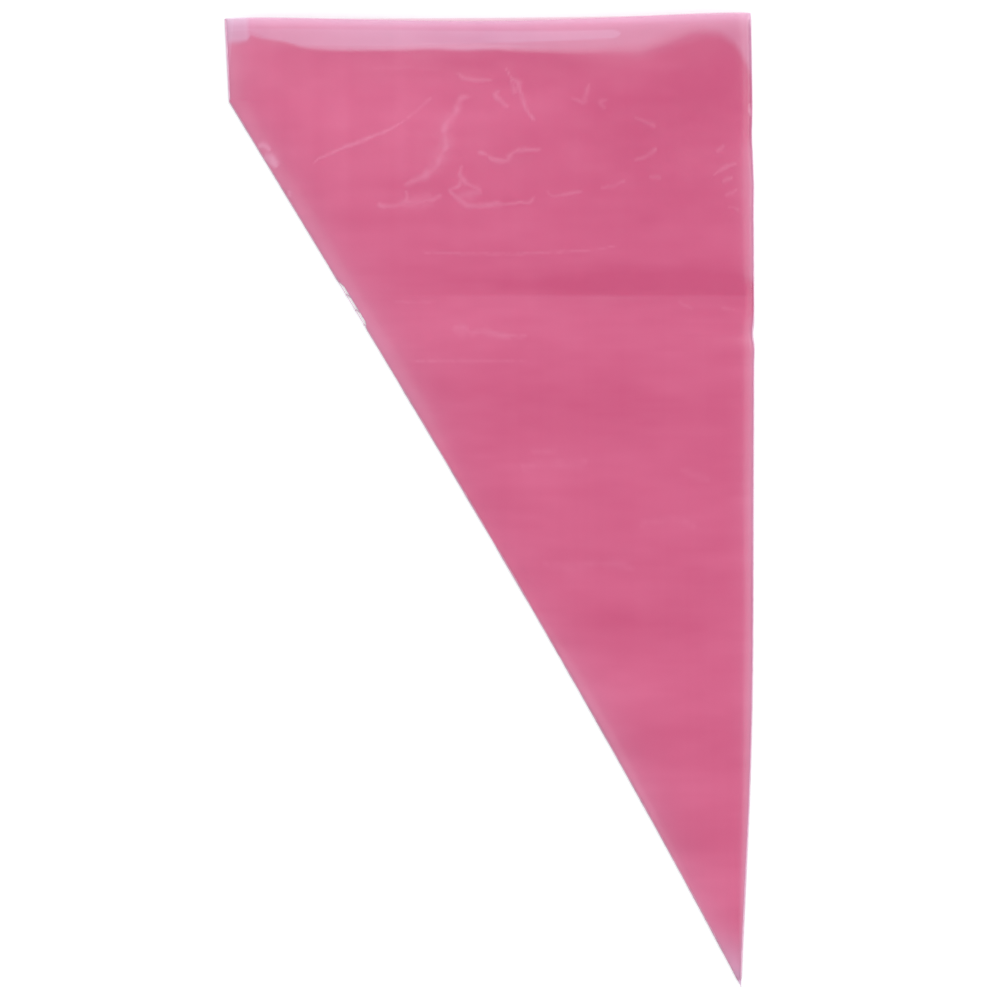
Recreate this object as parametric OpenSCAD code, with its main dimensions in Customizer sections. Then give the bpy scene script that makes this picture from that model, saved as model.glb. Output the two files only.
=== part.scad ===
// Disposable piping bag of heat-welded plastic film, lying on its back film.
// +Y runs from the tip to the mouth, +X from the welded side to the folded edge, +Z up off the table.
// The film is one lay-flat tube: the front and back films meet in a fold on the right edge and on the
// short edge at the upper left, and a trim weld closes the slanted left side down to the tip.
// A packing crease runs across the bag. The bag folds over along it, so each film is two sections.

/* [Bag] */
// Length from the tip to the highest corner of the mouth
bag_length = 460; // [300:1:600]
// Lay-flat width of the mouth
bag_width = 250; // [180:1:320]
// How far the short edge at the upper left runs down from the mouth
short_edge = 39; // [20:1:60]
// Thickness of one layer of film
film = 0.1; // [0.06:0.02:0.2]

/* [Loft] */
// How high the relaxed front film stands over the back film
loft = 10; // [8:0.5:14]
// Share of the loft that is left at the lip
lip_share = 0.68; // [0.6:0.02:0.8]
// Depth of the valley that the packing crease leaves
crease_depth = 1.2; // [0.4:0.1:1.6]
// Height of the soft ripples across the bag
ripple = 0.35; // [0:0.05:0.5]

/* [Edges] */
// Width of the trim weld's bead and of the half-round folds
edge_width = 1; // [0.6:0.1:1.6]
// Height of the bead and of the folds
edge_height = 0.6; // [0.5:0.05:1]
// How far the tip is welded shut
tip_weld_length = 8; // [6:1:14]

/* [Hidden] */

film_pink = [0.83, 0.4, 0.55];
edge_pink = [0.85, 0.58, 0.72];

half_width = bag_width / 2;
tip_y = -bag_length / 2;
mouth_y = bag_length / 2;          // the right-hand corner of the mouth
mouth_slope = 2.7;                 // how much lower the left-hand corner lies
mouth_left_y = mouth_y - mouth_slope;
corner_y = mouth_left_y - short_edge;
corner_inset = 2;                  // how far the short edge leans in by its lower end
crease_y = mouth_y - 0.291 * bag_length;
tip_weld_y = tip_y + tip_weld_length;

bow_y = 80;                        // the bag curves gently sideways away from this height
bow = 6.56e-5;
bulge = 1.3;                        // how far the folded side swells out in the lower half
bulge_y = -110;
bulge_reach = 85;
belly = 1.8;                       // how far the welded side draws in at its slackest
lip_sag = 2.2;                     // how far the front lip lies below the back lip

crease_gap = 0.4;                  // between the two sections of film at the crease
left_roll = 12;                    // distance over which the film rises from the welded side
right_roll = 8;                    // and from the folded edge
lip_roll = 12;                     // and falls to the lip
crease_spread = 9;                 // half width of the crease's valley
ripple_pitch = 52;

row_pitch = 11;
columns = 16;
edge_steps = 6;

function blend(a, b, t) = a + (b - a) * t;

// The outline: where the welded side and the folded edge lie at each height.
function sway(y) = -bow * pow(y - bow_y, 2);
function right_x(y) = half_width + sway(y) + bulge * exp(-pow((y - bulge_y) / bulge_reach, 2));
tip_x = right_x(tip_y);
corner_x = -half_width + corner_inset;
function weld_x(y) =
    let (t = (corner_y - y) / (corner_y - tip_y))
    blend(corner_x - sway(corner_y), tip_x - sway(tip_y), t) + sway(y)
    + belly * 6.75 * t * t * (1 - t);
function left_x(y) =
    y > corner_y ? blend(corner_x, -half_width, (y - corner_y) / short_edge) : weld_x(y);

// The lips: the back lip rises to the right-hand corner and the front lip sags below it.
function back_lip(t) = mouth_left_y + mouth_slope * pow(t, 3);
function front_lip(t) = back_lip(t) - lip_sag * pow(sin(180 * t), 2);

// Height of the front film's outer face, at distances left_d, right_d and lip_d from its edges.
function rise(d, roll) = 1 - exp(-max(d, 0) / roll);
function crease_valley(y) = crease_depth * exp(-pow((y - crease_y) / crease_spread, 2));
function ripples(y) = ripple * (1 - cos(360 * (y - crease_y) / ripple_pitch)) / 2;
function front_z(y, left_d, right_d, lip_d) =
    edge_height
    + (loft - crease_valley(y) - ripples(y))
      * blend(lip_share, 1, rise(lip_d, lip_roll))
      * rise(left_d, left_roll) * rise(right_d, right_roll);

// Rows of one section, evenly spaced from low to high.
function section_rows(low, high) =
    let (n = ceil((high - low) / row_pitch))
    [for (j = [0:n]) blend(low, high, j / n)];
lower_rows = section_rows(tip_weld_y, crease_y - crease_gap / 2);
weld_rows = section_rows(crease_y + crease_gap / 2, corner_y);
short_rows = section_rows(corner_y, mouth_left_y);
inner_rows = concat(weld_rows, [for (k = [1:len(short_rows) - 2]) short_rows[k]]);
fold_rows = concat(inner_rows, [mouth_y]);

// One row of the front film. Its columns crowd towards both edges, where the film curves most.
function film_row(y, at_lip = false) =
    [for (i = [0:columns])
        let (
            t = 0.5 - 0.5 * cos(180 * i / columns),
            py = at_lip ? front_lip(t) : y,
            left = left_x(py) + edge_width,
            w = right_x(py) - edge_width - left
        )
        [left + w * t, py, front_z(py, w * t, w * (1 - t), front_lip(t) - py)]];

// A closed sheet: a grid of points on its upper face, and its lower face straight below.
module sheet(grid, thickness) {
    m = len(grid);
    n = len(grid[0]);
    upper = [for (row = grid) each row];
    lower = [for (p = upper) p - [0, 0, thickness]];
    under = m * n;
    function at(j, i) = j * n + i;
    function wall(a, b) = [a, b, under + b, under + a];
    faces = [
        for (j = [0:m - 2], i = [0:n - 2])
            each [
                [at(j, i), at(j + 1, i), at(j + 1, i + 1)],
                [at(j, i), at(j + 1, i + 1), at(j, i + 1)],
                [under + at(j, i), under + at(j + 1, i + 1), under + at(j + 1, i)],
                [under + at(j, i), under + at(j, i + 1), under + at(j + 1, i + 1)],
            ],
        for (j = [0:m - 2]) each [wall(at(j + 1, 0), at(j, 0)), wall(at(j, n - 1), at(j + 1, n - 1))],
        for (i = [0:n - 2]) each [wall(at(0, i), at(0, i + 1)), wall(at(m - 1, i + 1), at(m - 1, i))],
    ];
    polyhedron(concat(upper, lower), faces);
}

// Two arcs of the edge's cross-section, as [distance in from the edge, height], from low to high.
// The bead's inner arc is a straight wall, and the fold's is one film thickness inside the outer arc.
function outer_arc(k) =
    let (a = blend(-90, 90, k / edge_steps))
    [edge_width * (1 - cos(a)), edge_height * (1 + sin(a)) / 2];
function bead_wall(k) = [edge_width, edge_height * (1 + sin(blend(-90, 90, k / edge_steps))) / 2];
function fold_arc(k) =
    let (a = blend(-90, 90, k / edge_steps))
    [film + (edge_width - film) * (1 - cos(a)), film + (edge_height - 2 * film) * (1 + sin(a)) / 2];

// A bar along the left or right edge between the outer arc and a given inner arc.
module edge_bar(outer, inner, rows, on_right = false) {
    n = edge_steps + 1;
    ring = 2 * n;
    last = len(rows) - 1;
    section = concat(outer, inner);
    points = [
        for (y = rows, s = section)
            on_right ? [right_x(y) - s[0], y, s[1]] : [left_x(y) + s[0], y, s[1]],
    ];
    faces = [
        for (j = [0:last - 1], k = [0:edge_steps - 1])
            let (a = j * ring + k, b = a + n)
            each [
                [a, a + 1, a + ring + 1],
                [a, a + ring + 1, a + ring],
                [b, b + ring + 1, b + 1],
                [b, b + ring, b + ring + 1],
            ],
        for (j = [0:last - 1], k = [0, edge_steps])
            let (a = j * ring + k, b = a + n)
            k == 0 ? [a, a + ring, b + ring, b] : [a, b, b + ring, a + ring],
        for (k = [0:edge_steps - 1])
            each [
                [k, k + n, k + n + 1, k + 1],
                [last * ring + k, last * ring + k + 1, last * ring + k + n + 1, last * ring + k + n],
            ],
    ];
    turned = [for (f = faces) [for (i = [len(f) - 1:-1:0]) f[i]]];
    polyhedron(points, on_right ? turned : faces);
}

outer_points = [for (k = [0:edge_steps]) outer_arc(k)];
module weld_bead(rows) edge_bar(outer_points, [for (k = [0:edge_steps]) bead_wall(k)], rows);
module film_fold(rows, on_right)
    edge_bar(outer_points, [for (k = [0:edge_steps]) fold_arc(k)], rows, on_right);

module lower_front_film() color(film_pink) sheet([for (y = lower_rows) film_row(y)], film);

module upper_front_film()
    color(film_pink)
        sheet([for (y = fold_rows) film_row(y, y == mouth_y)], film);

// The back film lies flat on the table.
module lower_back_film()
    color(film_pink)
        linear_extrude(film)
            polygon([
                for (y = lower_rows) [left_x(y) + edge_width, y],
                for (k = [len(lower_rows) - 1:-1:0]) [right_x(lower_rows[k]) - edge_width, lower_rows[k]],
            ]);

module upper_back_film()
    color(film_pink)
        linear_extrude(film)
            polygon([
                for (y = weld_rows) [left_x(y) + edge_width, y],
                for (k = [1:len(short_rows) - 1]) [left_x(short_rows[k]) + edge_width, short_rows[k]],
                for (k = [1:12])
                    [blend(-half_width, right_x(mouth_y), k / 12) + blend(1, -1, k / 12) * edge_width,
                     back_lip(k / 12)],
                for (k = [len(fold_rows) - 2:-1:0]) [right_x(fold_rows[k]) - edge_width, fold_rows[k]],
            ]);

module lower_side_weld() color(edge_pink) weld_bead(lower_rows);
module upper_side_weld() color(edge_pink) weld_bead(weld_rows);
module short_edge_fold() color(edge_pink) film_fold(short_rows, false);
module lower_edge_fold() color(edge_pink) film_fold(lower_rows, true);
module upper_edge_fold() color(edge_pink) film_fold(fold_rows, true);

// The fused point where the weld meets the fold.
module tip_weld()
    color(edge_pink)
        linear_extrude(edge_height)
            polygon([
                [left_x(tip_weld_y), tip_weld_y],
                [tip_x - 0.3, tip_y],
                [tip_x + 0.1, tip_y],
                [right_x(tip_weld_y), tip_weld_y],
            ]);

lower_front_film();
lower_back_film();
lower_side_weld();
lower_edge_fold();
tip_weld();
upper_front_film();
upper_back_film();
upper_side_weld();
upper_edge_fold();
short_edge_fold();
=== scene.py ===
"""A disposable piping bag of pink, see-through film, lying flat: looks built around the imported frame.

Lengths are in millimetres, in the frame's own axes, until grid_object turns them into metres.
"""
import math

import bpy
import numpy as np
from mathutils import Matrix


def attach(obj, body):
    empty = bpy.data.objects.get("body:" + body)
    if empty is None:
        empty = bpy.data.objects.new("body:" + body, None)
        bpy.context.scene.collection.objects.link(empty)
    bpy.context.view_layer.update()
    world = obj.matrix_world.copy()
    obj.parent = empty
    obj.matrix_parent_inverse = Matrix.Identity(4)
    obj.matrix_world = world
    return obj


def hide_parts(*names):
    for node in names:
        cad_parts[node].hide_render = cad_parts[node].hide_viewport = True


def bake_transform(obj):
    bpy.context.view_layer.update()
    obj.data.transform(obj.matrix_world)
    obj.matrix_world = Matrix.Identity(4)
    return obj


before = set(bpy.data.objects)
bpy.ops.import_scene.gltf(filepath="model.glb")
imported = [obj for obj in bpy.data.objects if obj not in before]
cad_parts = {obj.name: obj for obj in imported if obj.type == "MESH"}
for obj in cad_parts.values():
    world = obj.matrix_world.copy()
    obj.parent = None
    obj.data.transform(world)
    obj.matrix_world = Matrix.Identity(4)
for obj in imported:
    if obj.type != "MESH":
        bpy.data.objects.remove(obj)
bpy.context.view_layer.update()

MM = 0.001

# ---------------------------------------------------------------- outline, the same as in the CAD
LENGTH, WIDTH, SHORT_EDGE = 460.0, 250.0, 39.0
HALF = WIDTH / 2
TIP_Y, MOUTH_Y = -LENGTH / 2, LENGTH / 2
MOUTH_SLOPE = 2.7                       # how far the mouth drops towards its left end
LIP_SAG = 2.2                           # how far the front lip lies below the back lip, at its middle
MOUTH_LEFT_Y = MOUTH_Y - MOUTH_SLOPE
CORNER_Y = MOUTH_LEFT_Y - SHORT_EDGE
CORNER_X = -HALF + 2
CREASE_Y = MOUTH_Y - 0.291 * LENGTH
BOW, BOW_Y = 6.56e-5, 80.0              # the bag curves gently sideways away from this height
BELLY = 1.8                             # how far the welded side draws in at its slackest
SLANT = 0.857                           # from the distance along X to the distance from the slanted side

RIGHT_BUMPS = (                         # where the folded edge swells or draws in: height, reach, amount
    (-110.0, 85.0, 1.3), (147.0, 7.0, 0.25), (172.0, 9.0, -0.45), (78.0, 4.0, -0.55), (72.0, 5.0, 0.25),
)
HAIR_TOP, HAIR_END = 103.5, 81.5        # where the loose hair of weld runs beside the film
HAIR_GAP = 1.6


def lerp(a, b, t):
    return a + (b - a) * t


def smooth(a, b, v):
    """0 at a, 1 at b, and an even curve between."""
    t = np.clip((v - a) / (b - a), 0, 1)
    return t * t * (3 - 2 * t)


def bell(v, reach):
    return np.exp(-((v / reach) ** 2))


def sway(y):
    return -BOW * (y - BOW_Y) ** 2


def right_x(y):
    """The folded edge."""
    y = np.asarray(y, float)
    x = HALF + sway(y)
    for at, reach, amount in RIGHT_BUMPS:
        x = x + amount * bell(y - at, reach)
    return x


TIP_X = float(right_x(TIP_Y))


def weld_line(y):
    """The slanted, welded side."""
    t = (CORNER_Y - y) / (CORNER_Y - TIP_Y)
    base = lerp(CORNER_X - sway(CORNER_Y), TIP_X - sway(TIP_Y), t)
    belly = 27 / 4 * t * t * (1 - t)    # at most 1
    return base + sway(y) + BELLY * belly


def left_x(y):
    y = np.asarray(y, float)
    short = lerp(CORNER_X, -HALF, (y - CORNER_Y) / SHORT_EDGE)
    return np.where(y > CORNER_Y, short, weld_line(y))


def back_lip(t):
    return MOUTH_LEFT_Y + MOUTH_SLOPE * t ** 3


def front_lip(t):
    return back_lip(t) - LIP_SAG * np.sin(math.pi * t) ** 2


def hair_inset(y):
    """How far the film's edge is drawn in beside the loose hair of weld."""
    return HAIR_GAP * smooth(HAIR_END - 1, HAIR_END + 3, y) * smooth(HAIR_TOP + 1, HAIR_TOP - 3, y)


# ---------------------------------------------------------------- noise and lines
def value_noise(x, y, cell_x, cell_y, seed):
    """Smooth noise from -1 to 1 over the bag, with cells of that size."""
    rng = np.random.default_rng(seed)
    u, v = (x + 300) / cell_x, (y + 300) / cell_y
    table = rng.uniform(-1, 1, (int(600 / cell_x) + 3, int(600 / cell_y) + 3))
    i, j = np.floor(u).astype(int), np.floor(v).astype(int)
    fu, fv = u - i, v - j
    fu, fv = fu * fu * (3 - 2 * fu), fv * fv * (3 - 2 * fv)
    low = lerp(table[i, j], table[i + 1, j], fu)
    high = lerp(table[i, j + 1], table[i + 1, j + 1], fu)
    return lerp(low, high, fv)


def clouds(x, y, layers):
    """Noise in layers, each given as its amount, cell x, cell y and seed."""
    return sum(amount * value_noise(x, y, cell_x, cell_y, seed) for amount, cell_x, cell_y, seed in layers)


def smooth_min(a, b, k):
    """The lower of the two, rounded off where they meet."""
    h = np.clip(0.5 + 0.5 * (b - a) / k, 0, 1)
    return lerp(b, a, h) - k * h * (1 - h)


def spline(points, step=0.8):
    """A smooth line through the points, as short steps."""
    p = np.array(points, float)
    if len(p) == 2:
        p = np.array([p[0], (p[0] + p[1]) / 2, p[1]])
    ext = np.vstack([2 * p[0] - p[1], p, 2 * p[-1] - p[-2]])
    out = []
    for k in range(len(p) - 1):
        p0, p1, p2, p3 = ext[k], ext[k + 1], ext[k + 2], ext[k + 3]
        n = max(2, int(np.linalg.norm(p2 - p1) / step))
        for s in np.arange(n) / n:
            out.append(0.5 * ((2 * p1) + (p2 - p0) * s + (2 * p0 - 5 * p1 + 4 * p2 - p3) * s * s
                              + (3 * p1 - p0 - 3 * p2 + p3) * s ** 3))
    out.append(p[-1])
    return np.array(out)


def along(line, x, y):
    """Distance to the line and how far along it the nearest point lies, from 0 to 1."""
    best = np.full(x.shape, 1e9)
    share = np.zeros(x.shape)
    n = len(line) - 1
    for k in range(n):
        a, d = line[k], line[k + 1] - line[k]
        s = np.clip(((x - a[0]) * d[0] + (y - a[1]) * d[1]) / max(float(d @ d), 1e-9), 0, 1)
        q = np.hypot(x - a[0] - s * d[0], y - a[1] - s * d[1])
        near = q < best
        best = np.where(near, q, best)
        share = np.where(near, (k + s) / n, share)
    return best, share


# ---------------------------------------------------------------- creases pressed into the front film, with painted glints along them
CRINKLES = (  # width, height, painted glint (paleness in place of the crease's highlight), points
    # the long diagonal and the tall bent crease
    (0.6, 0.20, 0.55, [(-83.0, 157.2), (-82.0, 159.6), (-76.5, 162.0), (-59.5, 169.0), (-46.4, 174.3),
                       (-38.8, 179.0)]),
    (0.7, 0.12, 0.30, [(-38.8, 179.0), (-31.8, 184.6), (-27.0, 189.0)]),
    (1.4, 0.26, 0.50, [(-7.3, 189.0), (-13.4, 188.0), (-15.8, 182.3), (-19.5, 177.1), (-21.0, 172.4),
                       (-20.5, 166.3), (-23.3, 159.6), (-27.1, 154.0), (-33.7, 150.7), (-41.2, 146.9)]),
    (3.0, 0.10, 0.26, [(-17.0, 182.0), (-20.6, 176.0), (-21.0, 166.0), (-24.0, 159.0), (-31.0, 152.0)]),
    (0.9, 0.18, 0.45, [(-39.3, 145.5), (-38.4, 141.7), (-40.3, 139.8)]),
    # the row that runs on below them to the right
    (1.0, 0.22, 0.45, [(-53.0, 140.2), (-50.6, 138.0), (-44.5, 138.4), (-39.0, 139.5), (-33.0, 139.9),
                       (-27.5, 140.8), (-21.4, 142.8)]),
    (2.4, 0.12, 0.28, [(-42.0, 138.9), (-34.0, 139.9), (-26.0, 141.4)]),
    (0.9, 0.22, 0.50, [(-13.0, 157.3), (-13.9, 152.6), (-10.6, 148.8), (-3.5, 145.0)]),
    (0.9, 0.20, 0.45, [(-13.9, 152.6), (-14.4, 147.8), (-18.6, 145.0), (-13.4, 140.3), (-7.3, 137.9),
                       (4.5, 138.8), (13.0, 139.3), (18.6, 139.8), (21.7, 143.1)]),
    (2.0, 0.16, 0.34, [(-3.5, 145.0), (-11.1, 143.1), (-15.0, 141.4)]),
    (0.8, 0.20, 0.48, [(-6.5, 162.6), (-1.3, 162.0), (1.5, 159.4), (7.6, 158.6), (10.0, 161.8),
                       (13.4, 163.9), (25.0, 164.4)]),
    # the group near the mouth
    (0.8, 0.20, 0.36, [(-15.3, 200.3), (-11.6, 197.5), (-5.9, 196.5), (1.7, 196.5)]),
    (0.6, 0.05, 0.08, [(-55.4, 202.7), (-38.0, 202.4), (-22.9, 202.0)]),
    (0.8, 0.22, 0.52, [(6.8, 203.1), (9.9, 198.9), (13.4, 195.6), (15.1, 190.2), (16.7, 184.2),
                       (21.7, 177.2)]),
    (0.7, 0.20, 0.44, [(9.6, 197.0), (11.4, 194.0), (12.4, 190.0)]),
    (0.8, 0.20, 0.46, [(4.2, 192.3), (2.6, 189.4), (6.4, 186.1), (9.5, 184.5)]),
    (0.7, 0.18, 0.36, [(46.4, 195.6), (45.0, 188.5), (44.3, 186.6), (37.8, 188.9)]),
    (0.7, 0.16, 0.32, [(55.6, 188.0), (52.1, 186.6), (54.8, 183.3)]),
    # short ones out to the folded edge
    (0.7, 0.18, 0.36, [(67.9, 179.7), (73.0, 178.0), (78.3, 174.9)]),
    (0.8, 0.18, 0.32, [(68.0, 159.1), (72.4, 160.6), (78.5, 164.9)]),
    (0.7, 0.18, 0.34, [(26.5, 145.5), (30.4, 142.6), (37.5, 143.6), (44.4, 145.2)]),
    (0.7, 0.14, 0.26, [(52.0, 146.0), (58.2, 147.4), (64.3, 150.0)]),
    (0.7, 0.14, 0.26, [(75.2, 151.7), (80.8, 151.2)]),
    (0.7, 0.18, 0.36, [(104.9, 152.6), (110.6, 156.1), (117.1, 158.7)]),
    (0.7, 0.16, 0.30, [(110.6, 142.6), (116.7, 146.4)]),
    (0.7, 0.16, 0.28, [(112.4, 138.2), (117.6, 136.5)]),
    # faint lines along and below the packing crease
    (0.5, 0.10, 0.30, [(-33.7, 116.7), (-17.7, 116.0), (4.9, 115.5), (26.4, 116.1), (47.8, 117.2),
                       (62.4, 120.0)]),
    (1.0, 0.18, 0.36, [(-18.6, 79.8), (-13.0, 81.3), (-9.2, 78.9), (-1.2, 79.4), (5.9, 77.0), (18.6, 77.0)]),
    (1.8, 0.10, 0.22, [(-17.0, 80.0), (-9.0, 80.4)]),
    (0.5, 0.07, 0.22, [(-38.9, 65.6), (-10.0, 65.3), (18.6, 65.2)]),
    (0.5, 0.06, 0.16, [(-45.9, 93.4), (-22.4, 93.0)]),
    (0.6, 0.08, 0.22, [(88.8, 93.3), (95.8, 89.8)]),
    (0.6, 0.06, 0.18, [(109.0, 90.5), (116.0, 89.4)]),
    (0.9, 0.08, 0.16, [(18.6, 21.7), (32.7, 23.6)]),
    (1.2, 0.06, 0.14, [(88.0, 15.0), (104.0, 9.0)]),
    # glints beside the weld, and dents at the folded edge
    (1.3, 0.16, 0.75, [(-109.2, 167.0), (-105.7, 167.3), (-103.2, 164.9)]),
    (1.6, 0.18, 0.80, [(-106.7, 161.7), (-102.5, 160.7), (-99.9, 156.6)]),
    (0.9, 0.12, 0.60, [(-94.9, 146.0), (-93.5, 142.8)]),
    (0.8, 0.14, 0.40, [(109.5, 149.3), (112.0, 150.8), (114.7, 151.6)]),
    (0.7, 0.12, 0.26, [(106.5, 163.9), (108.5, 165.0), (110.6, 167.4)]),
    (0.5, 0.08, 0.90, [(122.8, 187.4), (123.0, 184.0), (123.3, 180.6)]),
    # soft wisps in the lower half
    (1.6, 0.04, 0.16, [(14.0, 15.0), (26.0, 17.5), (40.0, 16.0), (47.0, 19.0)]),
    (1.4, 0.04, 0.14, [(24.0, -30.0), (38.0, -32.0), (52.0, -29.5), (70.0, -33.0)]),
    (1.3, 0.04, 0.14, [(70.0, -12.0), (84.0, -9.0), (98.0, -12.0)]),
)
CRINKLE_HEIGHT, CRINKLE_GLINT = 0.5, 0.40    # shares of the table's height and painted glint that are used


def wander(x, y, seed):
    """A small sideways shift, so that a crinkle isn't a ruled line."""
    return clouds(x, y, ((0.36, 3.7, 3.7, seed), (0.22, 1.4, 1.4, seed + 100)))


def pressed(x, y):
    """Height that the crinkles add, and the painted glint along them: paleness in place of their highlights.
    """
    height, glint_paint = np.zeros(x.shape), np.zeros(x.shape)
    for index, (width, amount, pale, points) in enumerate(CRINKLES):
        line = spline(points)
        reach = 5 * width + 1
        lo, hi = line.min(axis=0) - reach, line.max(axis=0) + reach
        near = (x > lo[0]) & (x < hi[0]) & (y > lo[1]) & (y < hi[1])
        if not near.any():
            continue
        nx, ny = x[near], y[near]
        d, s = along(line, nx + wander(nx, ny, 40 + index), ny + wander(nx, ny, 60 + index))
        w = width * (0.7 + 0.6 * np.sin(math.pi * np.clip(s, 0.04, 0.96)))
        w = w * (1.1 + 0.45 * value_noise(nx, ny, 4.1, 4.1, 100 + index))
        taper = smooth(0, 0.06, s) * smooth(0, 0.06, 1 - s)
        beaded = 0.72 + 0.28 * value_noise(nx, ny, 3.0, 3.0, 80 + index)
        height[near] += CRINKLE_HEIGHT * amount * taper * beaded * bell(d, w)
        # Painted glint along the crinkle.
        glint_paint[near] = np.maximum(glint_paint[near], CRINKLE_GLINT * pale * taper * beaded * bell(d, w))
    return height, glint_paint


# ---------------------------------------------------------------- painted highlights: pale rims and the band below the mouth
# Painted highlight in the film's colour: how wide it runs along the folded edge, and how strong it is beside
# the weld, at each height.
RIM_Y = (-230, -189, -142, -94, -47, 0, 47, 75, 84, 89, 101, 106, 125, 151, 165, 172, 185, 205, 230)
RIM_WIDTH = (2.0, 2.2, 2.6, 4.0, 2.8, 4.0, 2.6, 2.8, 2.6, 0.4, 0.4, 3.2, 3.4, 4.2, 3.0, 1.2, 1.2, 1.8, 2.2)
LEFT_Y = (-225, -180, -142, -95, -70, -47, 0, 25, 47, 94, 142, 188)
LEFT_HIGHLIGHT = (0.24, 0.15, 0.18, 0.19, 0.13, 0.06, 0.06, 0.09, 0.19, 0.23, 0.18, 0.16)

BAND_X = (-126, -121, -113, -108, -100, -88, -70, -45, -5, 14, 40, 70, 84, 96, 108, 118, 126)
BAND_DEPTH = (11.5, 11.0, 7.4, 8.4, 10.4, 12.8, 13.6, 13.4, 12.4, 14.6, 15.4, 15.4, 12.0, 7.0, 5.4, 6.5, 8.0)
# How far below the lip the painted highlight band reaches and how softly it ends, and where the brighter
# painted streak in it lies.
PALE_X = (-126, -118, -114.2, -112.2, -107, -96, -88, -75, -42, 5,
          28, 52, 71, 83, 94, 101, 108.6, 115.6, 120.3, 126)
PALE_DEPTH = (12.3, 11.8, 10.6, 8.4, 10.4, 12.3, 14.4, 15.2, 14.4, 14.4,
              15.4, 16.6, 17, 13.5, 10.4, 9.6, 10.6, 15, 23, 33)
PALE_SOFT = (2.4, 2.0, 1.2, 0.8, 0.8, 0.8, 0.9, 1.2, 1.3, 1.5,
             2.2, 3.8, 6.2, 7.2, 6.4, 5.0, 3.6, 3.2, 4.0, 5.0)
STREAK_X = (-114, -105, -89, -60, -30, 0, 28, 56)
STREAK_MIDDLE = (5.5, 7.5, 9.2, 9.0, 8.4, 8.0, 8.1, 8.2)
STREAK_HALF = (0.3, 2.0, 4.0, 4.1, 3.6, 2.9, 2.5, 2.1)
STREAK_END, STREAK_ROUND = 56, 5.5      # where the streak's round end begins, and its length
TURNED_WIDTH = 3.4                      # the turned-in strip along the short edge
BAND_HIGHLIGHT, BAND_MORE = 0.20, 0.05       # painted highlight all along the band, and more at its middle
STREAK_HIGHLIGHT = (0.06, 0.11)              # the streak's painted highlight, at its left and right
# Painted highlight in the corner by the short edge, and how much paler the turned-in strip is drawn.
CORNER_HIGHLIGHT, TURNED_PALE = 0.21, 0.12


def band_wobble(x):
    return 0.5 * value_noise(x, 0 * x, 17.0, 50.0, 7)


def band_depth(x):
    """How far below the lip the front film bends down to it."""
    return np.interp(x, BAND_X, BAND_DEPTH) + band_wobble(x)


def rim_width(y):
    """How wide the painted highlight rim along the folded edge is."""
    return np.interp(y, RIM_Y, RIM_WIDTH)


def left_painted_highlight(y):
    """How strong the painted highlight is beside the weld."""
    return np.interp(y, LEFT_Y, LEFT_HIGHLIGHT)


def mouth_painted_highlight(x, lip_d, left_d):
    """The painted highlight below the mouth, in place of the reflection where the front film bends down to
    the lip: a band, with the brighter streak and the turned-in corner that lie in it.
    """
    depth = np.interp(x, PALE_X, PALE_DEPTH) + band_wobble(x)
    soft = np.interp(x, PALE_X, PALE_SOFT)
    band = smooth(1, -1, (lip_d - depth) / soft)
    round_end = np.sqrt(np.clip(1 - (np.maximum(x - STREAK_END, 0) / STREAK_ROUND) ** 2, 0, 1))
    half = np.interp(x, STREAK_X, STREAK_HALF) * round_end
    streak = smooth(0.6, -0.6, np.abs(lip_d - np.interp(x, STREAK_X, STREAK_MIDDLE)) - half) * (half > 0)
    corner = smooth(12.5, 9.5, left_d) * smooth(13, 9, lip_d)
    turned = smooth(0.3, -0.3, left_d - TURNED_WIDTH * (1 - (lip_d - 8) / 24)) * smooth(30, 24, lip_d)
    middle = smooth(-95, -50, x) * smooth(40, 0, x)
    bright = lerp(*STREAK_HIGHLIGHT, smooth(-40, 30, x))
    pale = (BAND_HIGHLIGHT + BAND_MORE * middle) * band + bright * streak
    return pale + CORNER_HIGHLIGHT * corner + TURNED_PALE * turned * (1 - 0.6 * band)


# ---------------------------------------------------------------- relief of the front film
EDGE_HEIGHT = 0.35                      # where the front film meets the weld and the fold
LOFT, LOFT_SPREAD = 8.4, 46.0           # the height far from every edge, and how slowly it is reached
FOLD_SHARE = 0.25                       # the share of the rise that the folded edge's steep rim makes up
LIP_HEIGHT = 3.8                        # the front lip, far from both its ends
LIP_REACH_LEFT, LIP_REACH_RIGHT = 9.0, 8.0
LIP_BLEND, LIP_STEP = 0.5, 0.4          # how round the bend above the lip is, and the least drop to the lip
VALLEY_DEPTH, VALLEY_REACH = 0.13, 9.0  # the packing crease, as a share of the height
DENT_DEPTH, DENT_BELOW, DENT_REACH = 0.05, 17, 5.0      # a dent below the crease, near the folded edge
RIPPLE_DEPTH, RIPPLE_PITCH = 0.035, 52.0                # gentle rolls across the bag
UNEVENNESS = ((0.018, 46, 17, 3), (0.009, 19, 8, 4))    # amount, cell x, cell y, seed


def rise(d, rim, share, spread=LOFT_SPREAD):
    """From 0 at an edge towards 1: a steep rim that makes up that share, then a slow rise."""
    d = np.maximum(d, 0)
    return share * (1 - np.exp(-d / rim)) + (1 - share) * (1 - np.exp(-d / spread))


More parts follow.
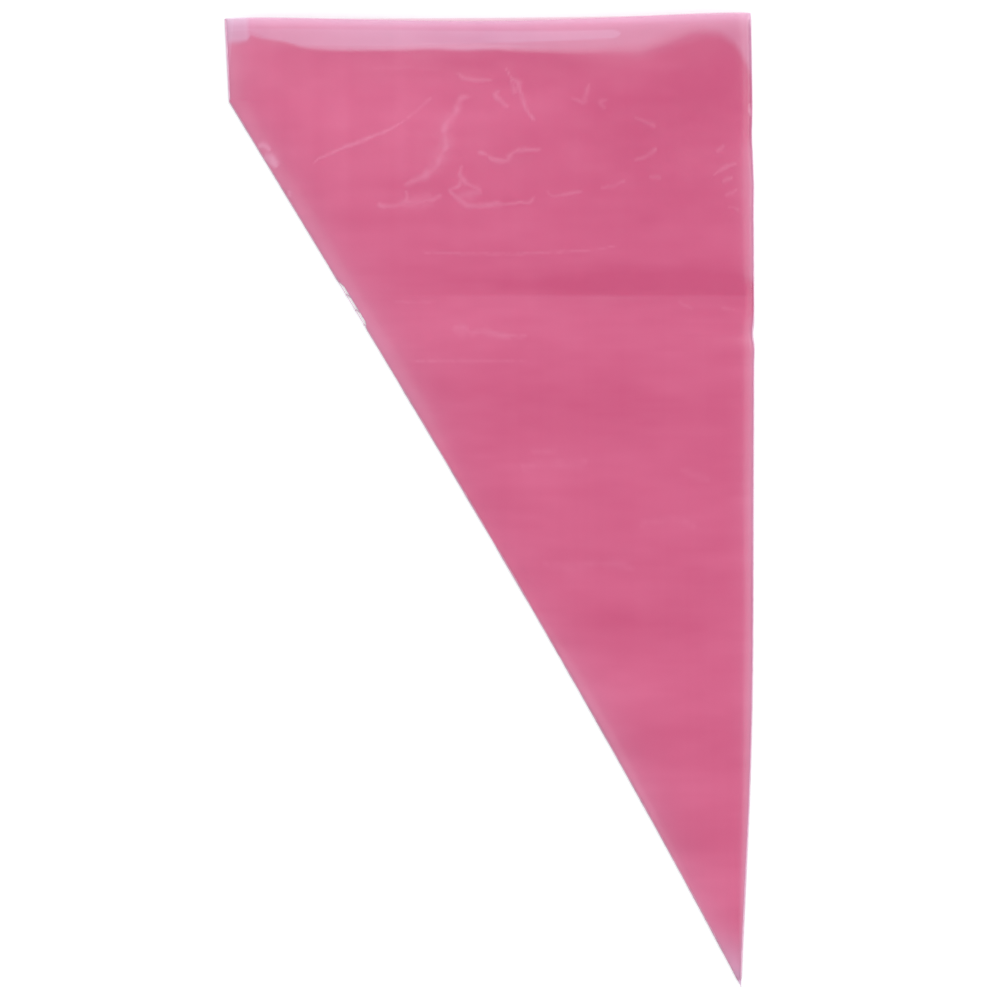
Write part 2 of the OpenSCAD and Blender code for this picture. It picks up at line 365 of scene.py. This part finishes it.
def front_height(x, y, left_d, right_d, lip_d):
    """Height of the front film's outer face over the surface the bag lies on."""
    right_rim = 1.6 + 0.3 * rim_width(y)
    left_rim = lerp(4.0, 7.0, smooth(-100, 150, y))
    left_share = np.clip(1.6 * left_painted_highlight(y) - 0.02, 0.08, 0.28)
    h = LOFT * rise(right_d, right_rim, FOLD_SHARE) * rise(left_d, left_rim, left_share)
    above = y - CREASE_Y
    valley = VALLEY_DEPTH * np.exp(-np.abs(above) / VALLEY_REACH) * lerp(0.35, 1, smooth(2, 40, left_d))
    h = h * (1 - valley)
    h = h - DENT_DEPTH * LOFT * bell(above + DENT_BELOW, DENT_REACH) * smooth(60, 118, x)
    roll = 0.5 * (1 - np.cos(2 * math.pi * above / RIPPLE_PITCH))
    h = h * (1 - RIPPLE_DEPTH * roll * smooth(4, 30, np.minimum(left_d, right_d)))
    h = h * (1 + clouds(x, y, UNEVENNESS))
    lip = LIP_HEIGHT * rise(left_d, LIP_REACH_LEFT, 1.0) * rise(right_d, LIP_REACH_RIGHT, 1.0)
    slope = np.maximum(h - lip, LIP_STEP) / band_depth(x)
    h = smooth_min(h, lip + slope * np.maximum(lip_d, 0), LIP_BLEND)
    return EDGE_HEIGHT + np.maximum(h, 0)


# ---------------------------------------------------------------- depth of colour over the front film
TONES = (  # broad patches of deeper (+) or paler (-) colour, partly the film's own unevenness and partly painted shade and light of its gentle rolls and of the crease: x, y, reach x, reach y, amount
    (95.0, 175.0, 52.0, 60.0, 0.72), (10.0, 205.0, 60.0, 9.0, 0.40), (112.0, 196.0, 26.0, 26.0, 0.55),
    (-60.0, 190.0, 44.0, 22.0, -0.40), (-80.0, 165.0, 30.0, 18.0, -0.32), (-25.0, 172.0, 30.0, 26.0, -0.22),
    (28.0, 186.0, 16.0, 7.0, -0.30), (85.0, 102.5, 70.0, 6.5, 0.75), (10.0, 101.0, 45.0, 4.5, 0.45),
    (50.0, 84.0, 80.0, 10.0, -0.28), (-25.0, 82.0, 34.0, 12.0, -0.30), (55.0, 53.0, 30.0, 16.0, 0.30),
    (20.0, 43.0, 12.0, 9.0, 0.22), (-22.0, 54.0, 7.0, 6.0, 0.26), (110.0, 25.0, 12.0, 60.0, 0.20),
    (20.0, 10.0, 24.0, 10.0, -0.22), (70.0, -58.0, 50.0, 9.0, 0.45), (75.0, -85.0, 50.0, 13.0, -0.18),
    (80.0, -112.0, 40.0, 10.0, 0.30), (88.0, -160.0, 26.0, 11.0, 0.45), (95.0, -135.0, 20.0, 9.0, -0.18),
    (100.0, -190.0, 16.0, 12.0, -0.22), (28.0, 46.0, 48.0, 9.0, 0.24), (2.0, 4.0, 14.0, 24.0, 0.26),
    (56.0, -56.0, 16.0, 8.0, 0.22), (30.0, 10.0, 18.0, 5.0, -0.18), (46.0, -36.0, 24.0, 5.0, -0.20),
    (104.0, 208.0, 14.0, 9.0, 0.35), (78.0, 40.0, 48.0, 16.0, 0.38), (68.0, -90.0, 32.0, 14.0, -0.40),
    (-62.0, 134.0, 32.0, 14.0, -0.28), (-88.0, 184.0, 18.0, 14.0, -0.28), (-12.0, 66.0, 28.0, 7.0, -0.22),
    (98.0, -142.0, 16.0, 10.0, -0.18),
)


# noise over the whole film, down its upper left and across its lower part: amount, cell x, cell y, seed
ALL_OVER = ((0.24, 60, 24, 11), (0.22, 26, 8, 12), (0.04, 2.4, 90, 14), (0.14, 11, 4, 15))
LONG_STREAKS = ((0.20, 5.5, 60, 13),)
CROSS_STREAKS = ((0.08, 19, 1.7, 16),)
SHADE_DEPTH, SHADE_REACH = 0.30, 7.0    # the deeper band above the crease, which ends sharply at it


def front_tone(x, y):
    """How deep the film's colour is: clouds, the extrusion's streaks, the patches, partly painted shade and
    light, and the crease's painted shade.
    """
    tone = clouds(x, y, ALL_OVER)
    tone = tone + clouds(x, y, LONG_STREAKS) * smooth(60, -60, x) * smooth(100, 160, y)
    tone = tone + clouds(x, y, CROSS_STREAKS) * smooth(150, 90, y)
    for at_x, at_y, reach_x, reach_y, amount in TONES:
        tone = tone + amount * np.exp(-(((x - at_x) / reach_x) ** 2) - (((y - at_y) / reach_y) ** 2))
    above = y - CREASE_Y
    shade = smooth(-0.4, 0.9, above) * np.exp(-np.maximum(above, 0) / SHADE_REACH)
    return tone + SHADE_DEPTH * shade * smooth(-50, 40, x)


# Strength of the painted highlight along the folded edge, at the tip and at the front lip, and how far it
# reaches from the weld and the lip.
RIM_HIGHLIGHT, TIP_HIGHLIGHT, LIP_HIGHLIGHT = 0.32, 0.24, 0.21
WELD_HIGHLIGHT_REACH, LIP_HIGHLIGHT_REACH = 9.0, 3.4


def front_painted_highlight(x, y, left_d, right_d, lip_d):
    """Painted highlight: how pale and lilac the film's colour is drawn along its edges, at the tip and below
    the mouth, in place of the lights' reflections there.
    """
    painted_highlight = RIM_HIGHLIGHT * np.exp(-right_d / (0.70 * rim_width(y)))
    painted_highlight = np.maximum(painted_highlight, left_painted_highlight(y) * np.exp(-left_d / WELD_HIGHLIGHT_REACH))
    painted_highlight = painted_highlight + TIP_HIGHLIGHT * smooth(-198, -223, y)
    painted_highlight = 1 - (1 - painted_highlight) * (1 - mouth_painted_highlight(x, lip_d, left_d))
    return painted_highlight + LIP_HIGHLIGHT * np.exp(-lip_d / LIP_HIGHLIGHT_REACH)


# In the corner by the mouth both layers are drawn clearer, which pales them as painted highlight. Along its
# lip the back film is drawn almost clear: partly its single layer, partly painted light that lifts the shade
# under the front lip.
LIP_SHEER, SHORT_SHEER, EDGE_SHEER, CORNER_SHEER, TIP_SHEER = 0.50, 0.25, 0.38, 0.38, 0.14
BACK_LIP_SHEER, BACK_CORNER_SHEER = 0.95, 0.70


def near_corner(left_d, lip_d):
    """1 in the corner between the short edge and the mouth."""
    return smooth(14, 8, left_d) * smooth(14, 8, lip_d)


def front_sheer(y, left_d, right_d, lip_d):
    """How much clearer than elsewhere the film is drawn; in the corner by the mouth this clearing is painted
    highlight.
    """
    sheer = LIP_SHEER * np.exp(-lip_d / 1.3) + SHORT_SHEER * np.exp(-left_d / 8.0) * smooth(14, 6, lip_d)
    sheer = sheer + EDGE_SHEER * np.exp(-np.minimum(left_d, right_d))
    sheer = sheer + CORNER_SHEER * near_corner(left_d, lip_d)
    return sheer + TIP_SHEER * smooth(-198, -222, y)


# ---------------------------------------------------------------- meshes
def link(obj):
    bpy.context.scene.collection.objects.link(obj)
    return obj


def grid_object(name, grid, close=False, attributes=()):
    """A mesh over a grid of points. close joins its last column to its first, and caps its ends."""
    m, n = grid.shape[:2]
    index = np.arange(m * n).reshape(m, n)
    nxt = np.roll(index, -1, axis=1) if close else index[:, 1:]
    cur = index if close else index[:, :-1]
    quads = np.stack([cur[:-1], nxt[:-1], nxt[1:], cur[1:]], axis=-1).reshape(-1, 4)
    faces = [tuple(q) for q in quads.tolist()]
    if close:
        faces.append(tuple(index[0, ::-1].tolist()))
        faces.append(tuple(index[-1].tolist()))
    mesh = bpy.data.meshes.new(name)
    mesh.from_pydata((grid.reshape(-1, 3) * MM).tolist(), [], faces)
    for label, values in attributes:
        layer = mesh.attributes.new(label, "FLOAT", "POINT")
        layer.data.foreach_set("value", np.ascontiguousarray(values, np.float32).ravel())
    mesh.polygons.foreach_set("use_smooth", [True] * len(mesh.polygons))
    mesh.update()
    return link(bpy.data.objects.new(name, mesh))


def rows_between(knots):
    """Heights from knot to knot, each run in steps of about its own size."""
    out = [knots[0][0]]
    for (a, step), (b, _) in zip(knots, knots[1:]):
        n = max(1, int(round((b - a) / step)))
        out += list(a + (b - a) * np.arange(1, n + 1) / n)
    return np.array(out)


FILM_END_Y = -227.0         # where the films run into the fused tip
FRONT_ROWS_END, BACK_ROWS_END = 227.0, MOUTH_LEFT_Y     # the last row, before it bends to follow the lip
LIP_PULL = 26.0             # the rows within this distance of the mouth bend to follow the lip
EDGE_INSET = 0.15           # the film stops this far inside the weld and the fold
FRONT_COLUMNS, BACK_COLUMNS = 300, 110
BACK_HEIGHT = 0.03          # the back film over the surface the bag lies on
BACK_SIDE_LIFT, BACK_LIP_LIFT, BACK_WAVES = 0.22, 0.30, 0.05


def film_grid(rows, columns, lip_at, end_y):
    """x and y of a film's points, and their share of the way across. Columns crowd towards both sides."""
    s = np.linspace(0, 1, columns)
    t = 0.55 * s + 0.45 * (0.5 - 0.5 * np.cos(math.pi * s))
    y = np.repeat(rows[:, None], columns, axis=1)
    pull = smooth(end_y - LIP_PULL, end_y, rows)[:, None]
    y = y + pull * (lip_at(t)[None, :] - end_y)
    left = left_x(y) + hair_inset(y) + EDGE_INSET
    right = right_x(y) - EDGE_INSET
    return left + (right - left) * t[None, :], y, np.repeat(t[None, :], len(rows), axis=0)


def make_front_film():
    """The front layer, with its relief, its crinkles and its four looks."""
    rows = rows_between([
        (FILM_END_Y, 1.2), (-215.0, 2.4), (-120.0, 2.2), (60.0, 1.3), (84.0, 0.8), (108.0, 1.0),
        (132.0, 0.72), (206.0, 0.8), (FRONT_ROWS_END, 1),
    ])
    x, y, t = film_grid(rows, FRONT_COLUMNS, front_lip, FRONT_ROWS_END)
    left_d = (x - left_x(y)) * lerp(SLANT, 1.0, smooth(CORNER_Y - 12, CORNER_Y + 6, y))
    right_d = right_x(y) - x
    lip_d = front_lip(t) - y
    crinkle, crinkle_glint = pressed(x, y)
    z = front_height(x, y, left_d, right_d, lip_d)
    z = z + crinkle * smooth(0.5, 3, np.minimum(left_d, right_d))
    # The looks: depth of colour, painted highlight, painted glint along the crinkles, and how clear the film
    # is.
    looks = [
        ("tone", front_tone(x, y)),
        ("painted_highlight", front_painted_highlight(x, y, left_d, right_d, lip_d)),
        ("crinkle_glint", crinkle_glint),
        ("sheer", front_sheer(y, left_d, right_d, lip_d)),
    ]
    return grid_object("front_film", np.stack([x, y, z], axis=-1), attributes=looks)


def make_back_film():
    """The back layer, lying almost flat."""
    rows = rows_between([
        (FILM_END_Y, 3.5), (60.0, 3.0), (84.0, 1.2), (108.0, 3.0), (200.0, 2.5), (BACK_ROWS_END, 1),
    ])
    x, y, t = film_grid(rows, BACK_COLUMNS, back_lip, BACK_ROWS_END)
    left_d = (x - left_x(y)) * SLANT
    right_d = right_x(y) - x
    lip_d = back_lip(t) - y
    side_lift = BACK_SIDE_LIFT * (np.exp(-left_d / 1.2) + np.exp(-right_d / 1.2))
    lip_lift = BACK_LIP_LIFT * np.exp(-lip_d / 3.0) * np.sin(math.pi * t) ** 2
    waves = BACK_WAVES * (1 + value_noise(x, y, 24, 9, 21)) * smooth(3, 20, np.minimum(left_d, right_d))
    z = BACK_HEIGHT + side_lift + lip_lift + waves
    # Almost clear along the lip: the single layer, and painted light that lifts the shade under the front
    # lip.
    sheer = BACK_LIP_SHEER * smooth(5.0, 2.0, lip_d)
    sheer = np.maximum(sheer, BACK_CORNER_SHEER * near_corner(left_d, lip_d))
    looks = [
        ("tone", 0.25 * value_noise(x, y, 50, 20, 22)),
        ("painted_highlight", 0 * x),
        ("crinkle_glint", 0 * x),
        ("sheer", sheer),
    ]
    return grid_object("back_film", np.stack([x, y, z], axis=-1), attributes=looks)


def swept(name, path, section):
    """A closed bar along path. section is one ring of offsets, leftwards and up, or a ring for each step."""
    path = np.array(path, float)
    ahead = np.gradient(path, axis=0)
    ahead = ahead / np.linalg.norm(ahead, axis=1)[:, None]
    side = np.stack([-ahead[:, 1], ahead[:, 0], 0 * ahead[:, 0]], axis=1)
    side = side / np.linalg.norm(side, axis=1)[:, None]
    up = np.cross(ahead, side)
    section = np.array(section, float)
    if section.ndim == 2:
        section = np.repeat(section[None], len(path), axis=0)
    grid = path[:, None] + side[:, None] * section[..., :1] + up[:, None] * section[..., 1:]
    return grid_object(name, grid, close=True)


def ring(width, height, steps=12):
    """An oval section."""
    a = np.linspace(0, 2 * math.pi, steps, endpoint=False)
    return np.stack([width * np.cos(a), height * np.sin(a)], axis=1)


WELD_WIDTH, WELD_HEIGHT, WELD_Z = 0.34, 0.28, 0.36
WELD_INSET = 0.28           # the bead's middle, inside the outline
HAIR_WIDTH, HAIR_HEIGHT, HAIR_Z = 0.14, 0.13, 0.34
HAIR_OVERRUN = 2.5          # how far the hair runs on at each end, into the weld


def make_side_weld():
    """The trim weld: a thin uneven bead down the slanted side."""
    y = rows_between([(-226.5, 1.6), (78.0, 0.8), (112.0, 1.6), (CORNER_Y, 1)])
    rng = np.random.default_rng(5)
    lumps = np.convolve(rng.uniform(-1, 1, len(y) + 4), [0.2] * 5, "valid")
    path = np.stack([left_x(y) + hair_inset(y) + WELD_INSET, y, np.full(len(y), WELD_Z)], axis=1)
    sections = [ring(WELD_WIDTH * (1 + 0.5 * lump), WELD_HEIGHT * (1 + 0.4 * lump)) for lump in lumps]
    return swept("side_weld", path, sections)


def make_weld_hair():
    """The loose hair of weld, standing off the film."""
    steps = 60
    y = np.linspace(HAIR_END - HAIR_OVERRUN, HAIR_TOP + HAIR_OVERRUN, steps)
    path = np.stack([left_x(y) + 0.12, y, np.full(steps, HAIR_Z)], axis=1)
    return swept("weld_hair", path, ring(HAIR_WIDTH, HAIR_HEIGHT, 8))


TIE_HEIGHTS = (96.9, 89.8, 82.9)
TIE_WIDTHS = (0.55, 0.36, 0.28, 0.30, 0.42, 0.6)
TIE_THICKNESS = 0.12
TIE_DROP = 0.9              # how much lower a tie ends than it starts


def make_ties():
    """The short ties that still hold the hair of weld."""
    ties = []
    for number, y in enumerate(TIE_HEIGHTS):
        end_y = y - TIE_DROP
        start = np.array([float(left_x(y)) + 0.1, y, HAIR_Z])
        end = np.array([float(left_x(end_y)) + float(hair_inset(end_y)) + 0.3, end_y, WELD_Z])
        path = [lerp(start, end, s) for s in np.linspace(0, 1, len(TIE_WIDTHS))]
        ties.append(swept(f"weld_tie_{number + 1}", path, [ring(w, TIE_THICKNESS, 8) for w in TIE_WIDTHS]))
    return ties


FOLD_WIDTH, FOLD_HEIGHT, FOLD_FILM = 0.75, 0.34, 0.14   # FOLD_FILM is drawn thicker than real film
FOLD_Z = 0.38


def fold_section(steps=9):
    """Half a flattened ring of film, open on its inner side."""
    a = np.linspace(-math.pi / 2, math.pi / 2, steps)
    outer = np.stack([FOLD_WIDTH * np.cos(a), FOLD_HEIGHT * np.sin(a)], axis=1)
    inner = np.stack([(FOLD_WIDTH - FOLD_FILM) * np.cos(a), (FOLD_HEIGHT - FOLD_FILM) * np.sin(a)], axis=1)
    return np.vstack([outer, inner[::-1]])


def make_edge_fold():
    """The long fold down the right edge."""
    y = rows_between([(-226.0, 3.0), (60.0, 1.2), (110.0, 2.5), (226.5, 1)])
    path = np.stack([right_x(y) - FOLD_WIDTH, y, np.full(len(y), FOLD_Z)], axis=1)
    mirrored = fold_section() * np.array([-1.0, 1.0])
    return swept("edge_fold", path, mirrored[::-1])


def make_short_fold():
    """The fold along the short edge at the upper left."""
    steps = 26
    y = np.linspace(CORNER_Y + 0.6, MOUTH_LEFT_Y - 0.1, steps)
    path = np.stack([left_x(y) + FOLD_WIDTH, y, np.full(steps, FOLD_Z)], axis=1)
    return swept("short_edge_fold_film", path, fold_section())


FUSED_LENGTH = 7.5
FUSED_Z = 0.22


def make_tip():
    """The fused tip, a flat tongue that narrows to the end."""
    steps = 14
    y = np.linspace(TIP_Y, TIP_Y + FUSED_LENGTH, steps)
    left, right = left_x(y) + 0.1, right_x(y) - 0.1
    left[0], right[0] = TIP_X - 0.35, TIP_X + 0.15
    left[1] -= 0.05
    path = np.stack([(left + right) / 2, y, np.full(steps, FUSED_Z)], axis=1)
    thick = lerp(0.14, 0.20, smooth(0, 2, y - TIP_Y)) * lerp(1, 0.4, smooth(-227, -223, y))
    return swept("tip_film", path, [ring(w, h, 16) for w, h in zip((right - left) / 2, thick)])


front_film = make_front_film()
back_film = make_back_film()
side_weld = make_side_weld()
weld_hair = make_weld_hair()
ties = make_ties()
edge_fold = make_edge_fold()
short_fold = make_short_fold()
tip = make_tip()

# ---------------------------------------------------------------- materials
PLASTIC_IOR = 1.51
FILM_ROUGHNESS = (0.19, 0.26)
# The colours of the painted highlight and of the painted glint along the crinkles.
HIGHLIGHT_PAINT_COLOUR = (0.70, 0.66, 0.86, 1.0)
GLINT_PAINT_COLOUR = (0.86, 0.56, 0.70, 1.0)
SHEER_TINT = (1.0, 0.90, 0.94, 1.0)
SHEER_SHARE = 0.05                      # the share of haze left where the film is clearest
MIRROR_FACING, MIRROR_GRAZING = 0.045, 0.955


def new_material(name):
    """An empty material and its node tree."""
    mat = bpy.data.materials.new(name)
    mat.use_nodes = True
    tree = mat.node_tree
    tree.nodes.clear()
    return mat, tree


def node(tree, kind, **values):
    """A new node with its settings, or the constants of its sockets, set by name."""
    n = tree.nodes.new(kind)
    for key, value in values.items():
        if hasattr(n, key):
            setattr(n, key, value)
        else:
            n.inputs[key.replace("_", " ")].default_value = value
    return n


def put_out(tree, shader):
    out = node(tree, "ShaderNodeOutputMaterial")
    tree.links.new(shader.outputs[0], out.inputs["Surface"])


def attribute(tree, name):
    return node(tree, "ShaderNodeAttribute", attribute_name=name).outputs["Fac"]


def noise(tree, coords, scale, stretch, detail):
    """Blender's own noise over the piece's coordinates, stretched along each axis."""
    mapping = node(tree, "ShaderNodeMapping")
    mapping.inputs["Scale"].default_value = stretch
    tree.links.new(coords, mapping.inputs["Vector"])
    n = node(tree, "ShaderNodeTexNoise")
    n.inputs["Scale"].default_value = scale
    n.inputs["Detail"].default_value = detail
    tree.links.new(mapping.outputs["Vector"], n.inputs["Vector"])
    return n.outputs["Fac"]


def ranged(tree, value, low, high, to_low, to_high):
    """value, with low to high spread over to_low to to_high."""
    n = node(tree, "ShaderNodeMapRange")
    for key, v in zip(("From Min", "From Max", "To Min", "To Max"), (low, high, to_low, to_high)):
        n.inputs[key].default_value = v
    tree.links.new(value, n.inputs["Value"])
    return n.outputs["Result"]


def mix_colour(tree, factor, a, b):
    """a where factor is 0 and b where it is 1. Each is a colour or a socket."""
    n = node(tree, "ShaderNodeMix", data_type="RGBA")
    for key, v in (("Factor", factor), ("A", a), ("B", b)):
        socket = next(s for s in n.inputs if s.name == key and s.enabled)
        if isinstance(v, (tuple, float)):
            socket.default_value = v
        else:
            tree.links.new(v, socket)
    return next(s for s in n.outputs if s.enabled)


def mix_shader(tree, share, a, b):
    """a where share is 0 and b where it is 1."""
    n = node(tree, "ShaderNodeMixShader")
    tree.links.new(share, n.inputs["Fac"])
    tree.links.new(a.outputs[0], n.inputs[1])
    tree.links.new(b.outputs[0], n.inputs[2])
    return n


def scaled_up(tree, value, factor, more):
    """value * factor + more, kept within 0 and 1. more is a number or a socket."""
    n = node(tree, "ShaderNodeMath", operation="MULTIPLY_ADD", use_clamp=True)
    tree.links.new(value, n.inputs[0])
    n.inputs[1].default_value = factor
    if isinstance(more, float):
        n.inputs[2].default_value = more
    else:
        tree.links.new(more, n.inputs[2])
    return n.outputs[0]


def film_gloss(tree, rough, bump):
    """The film's gloss and how much of it shows, which is the same on both sides of the film."""
    gloss = node(tree, "ShaderNodeBsdfGlossy")
    tree.links.new(rough, gloss.inputs["Roughness"])
    tree.links.new(bump, gloss.inputs["Normal"])
    facing = node(tree, "ShaderNodeLayerWeight").outputs["Facing"]
    grazing = node(tree, "ShaderNodeMath", operation="POWER")
    tree.links.new(facing, grazing.inputs[0])
    grazing.inputs[1].default_value = 5.0
    return gloss, scaled_up(tree, grazing.outputs[0], MIRROR_GRAZING, MIRROR_FACING)


def film_material(name, solid_share, deep, pale, tint_deep, tint_pale):
    """One layer of see-through film: a share of hazy plastic in a coloured clear sheet, under gloss."""
    mat, tree = new_material(name)
    coords = node(tree, "ShaderNodeTexCoord").outputs["Object"]
    painted_highlight, crinkle_glint, sheer = (attribute(tree, key) for key in ("painted_highlight", "crinkle_glint", "sheer"))
    depth = ranged(tree, attribute(tree, "tone"), -1.0, 1.0, 0.0, 1.0)
    base = mix_colour(tree, depth, pale, deep)
    # Painted highlight turns the colour pale lilac along the edges and below the mouth; painted glint turns
    # it pale along the crinkles.
    base = mix_colour(tree, painted_highlight, base, HIGHLIGHT_PAINT_COLOUR)
    base = mix_colour(tree, crinkle_glint, base, GLINT_PAINT_COLOUR)
    tint = mix_colour(tree, sheer, mix_colour(tree, depth, tint_pale, tint_deep), SHEER_TINT)

    grain = noise(tree, coords, 110.0, (1.0, 0.6, 1.0), 2.0)
    rough = ranged(tree, grain, 0.3, 0.7, *FILM_ROUGHNESS)
    bump_node = node(tree, "ShaderNodeBump", Strength=0.05, Distance=0.0006)
    tree.links.new(grain, bump_node.inputs["Height"])
    bump = bump_node.outputs["Normal"]

    solid = node(tree, "ShaderNodeBsdfPrincipled", IOR=PLASTIC_IOR)
    tree.links.new(base, solid.inputs["Base Color"])
    tree.links.new(rough, solid.inputs["Roughness"])
    tree.links.new(bump, solid.inputs["Normal"])
    clear = node(tree, "ShaderNodeBsdfTransparent")
    tree.links.new(tint, clear.inputs["Color"])
    share = ranged(tree, sheer, 0.0, 1.0, solid_share, SHEER_SHARE)
    # Where highlight and glint are painted, the film is also drawn less clear.
    for part in (painted_highlight, crinkle_glint):
        share = scaled_up(tree, part, 0.5, share)
    gloss, mirror = film_gloss(tree, rough, bump)
    put_out(tree, mix_shader(tree, mirror, mix_shader(tree, share, clear, solid), gloss))
    return mat


def bead_material(name, colour, dark, roughness, alpha):
    """Melted film: glossy, a little cloudy, uneven in colour along its length."""
    mat, tree = new_material(name)
    coords = node(tree, "ShaderNodeTexCoord").outputs["Object"]
    patches = noise(tree, coords, 260.0, (1.0, 1.0, 1.0), 3.0)
    mottled = mix_colour(tree, ranged(tree, patches, 0.35, 0.65, 0.0, 1.0), colour, dark)
    solid = node(tree, "ShaderNodeBsdfPrincipled", IOR=PLASTIC_IOR, Alpha=alpha)
    tree.links.new(mottled, solid.inputs["Base Color"])
    tree.links.new(ranged(tree, patches, 0.3, 0.7, roughness, roughness + 0.12), solid.inputs["Roughness"])
    put_out(tree, solid)
    return mat


front_mat = film_material(
    "pink_film_front", solid_share=0.50, deep=(0.66, 0.10, 0.25, 1), pale=(0.84, 0.21, 0.39, 1),
    tint_deep=(0.91, 0.50, 0.65, 1), tint_pale=(0.98, 0.62, 0.76, 1),
)
back_mat = film_material(
    "pink_film_back", solid_share=0.45, deep=(0.80, 0.12, 0.27, 1), pale=(0.88, 0.20, 0.38, 1),
    tint_deep=(0.95, 0.52, 0.67, 1), tint_pale=(0.99, 0.60, 0.74, 1),
)
weld_mat = bead_material(
    "melted_weld", colour=(0.66, 0.36, 0.48, 1), dark=(0.54, 0.27, 0.38, 1), roughness=0.28, alpha=0.62,
)
hair_mat = bead_material(
    "weld_hair_film", colour=(0.80, 0.60, 0.69, 1), dark=(0.68, 0.45, 0.56, 1), roughness=0.30, alpha=0.62,
)
fold_mat = bead_material(
    "folded_film", colour=(0.90, 0.55, 0.70, 1), dark=(0.80, 0.42, 0.58, 1), roughness=0.22, alpha=0.75,
)
tip_mat = bead_material(
    "fused_tip", colour=(0.74, 0.50, 0.66, 1), dark=(0.66, 0.42, 0.57, 1), roughness=0.22, alpha=0.65,
)

for obj, mat in ((front_film, front_mat), (back_film, back_mat), (side_weld, weld_mat),
                 (weld_hair, hair_mat), (edge_fold, fold_mat), (short_fold, fold_mat), (tip, tip_mat),
                 *((tie, hair_mat) for tie in ties)):
    obj.data.materials.append(mat)

# ---------------------------------------------------------------- bodies, and the imported parts hidden
for obj in (front_film, back_film, side_weld, weld_hair, edge_fold, *ties):
    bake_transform(obj)
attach(short_fold, "mouth_section")
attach(tip, "lower_bag")

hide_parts("lower_front_film", "upper_front_film")
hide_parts("lower_back_film", "upper_back_film")
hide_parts("lower_side_weld", "upper_side_weld")
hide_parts("lower_edge_fold", "upper_edge_fold")
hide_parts("short_edge_fold")
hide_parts("tip_weld")

# ---------------------------------------------------------------- stage, light and camera, in metres
FLOOR_HALF, FLOOR_Z = 3, -0.0002
LIGHT_DISTANCE = 1.6
SOFTBOXES = (  # name, azimuth and elevation in degrees, width and height, brightness, colour
    ("box_beyond_mouth", 90, 55, (3.0, 0.75), 1.55, (0.92, 0.97, 1.0)),
    ("box_right", 0, 40, (2.4, 0.9), 1.1, (0.96, 0.98, 1.0)),
    ("box_left", 205, 46, (2.4, 0.9), 0.65, (0.96, 0.98, 1.0)),
    ("box_near_tip", 270, 46, (1.6, 0.5), 0.8, (1, 1, 1)),
    ("low_strip_right", 45, 25, (2.8, 0.30), 2.0, (1, 1, 1)),
    ("low_strip_left", 240, 22, (2.8, 0.30), 2.0, (1, 1, 1)),
)
LENS, SENSOR = 85, 36       # millimetres
VIEW_SPAN = 0.4723          # across the frame, at the bag
VIEW_X = 0.0050


def make_floor():
    corners = [(x * FLOOR_HALF, y * FLOOR_HALF, FLOOR_Z) for x, y in ((-1, -1), (1, -1), (1, 1), (-1, 1))]
    mesh = bpy.data.meshes.new("floor")
    mesh.from_pydata(corners, [], [(0, 1, 2, 3)])
    mat, tree = new_material("pale_floor")
    bsdf = node(tree, "ShaderNodeBsdfPrincipled", Roughness=0.9)
    bsdf.inputs["Base Color"].default_value = (0.97, 0.96, 0.95, 1)
    bsdf.inputs["Specular IOR Level"].default_value = 0.1
    put_out(tree, bsdf)
    mesh.materials.append(mat)
    return link(bpy.data.objects.new("floor", mesh))


def softbox(name, azimuth, elevation, size, radiance, colour):
    """An area light that faces the bag, whose own brightness is radiance."""
    light = bpy.data.lights.new(name, "AREA")
    light.shape = "RECTANGLE"
    light.size, light.size_y = size
    light.energy = radiance * size[0] * size[1] * math.pi
    light.color = colour
    obj = link(bpy.data.objects.new(name, light))
    a, e = math.radians(azimuth), math.radians(elevation)
    direction = (math.cos(e) * math.cos(a), math.cos(e) * math.sin(a), math.sin(e))
    obj.location = [LIGHT_DISTANCE * v for v in direction]
    obj.rotation_mode = "QUATERNION"
    obj.rotation_quaternion = obj.location.to_track_quat("Z", "Y")


def make_camera():
    """Straight above, with its long lens framing the bag as the photo does."""
    data = bpy.data.cameras.new("camera")
    data.lens = LENS
    data.sensor_width = SENSOR
    camera = link(bpy.data.objects.new("camera", data))
    camera.location = (VIEW_X, 0.0, VIEW_SPAN * LENS / SENSOR)
    bpy.context.scene.camera = camera


floor = make_floor()

world = bpy.data.worlds.new("studio")
world.use_nodes = True
sky = world.node_tree.nodes["Background"]
sky.inputs["Color"].default_value = (0.93, 0.96, 1.0, 1)
sky.inputs["Strength"].default_value = 0.60
bpy.context.scene.world = world
for row in SOFTBOXES:
    softbox(*row)
make_camera()
bpy.context.scene.view_settings.view_transform = "Standard"
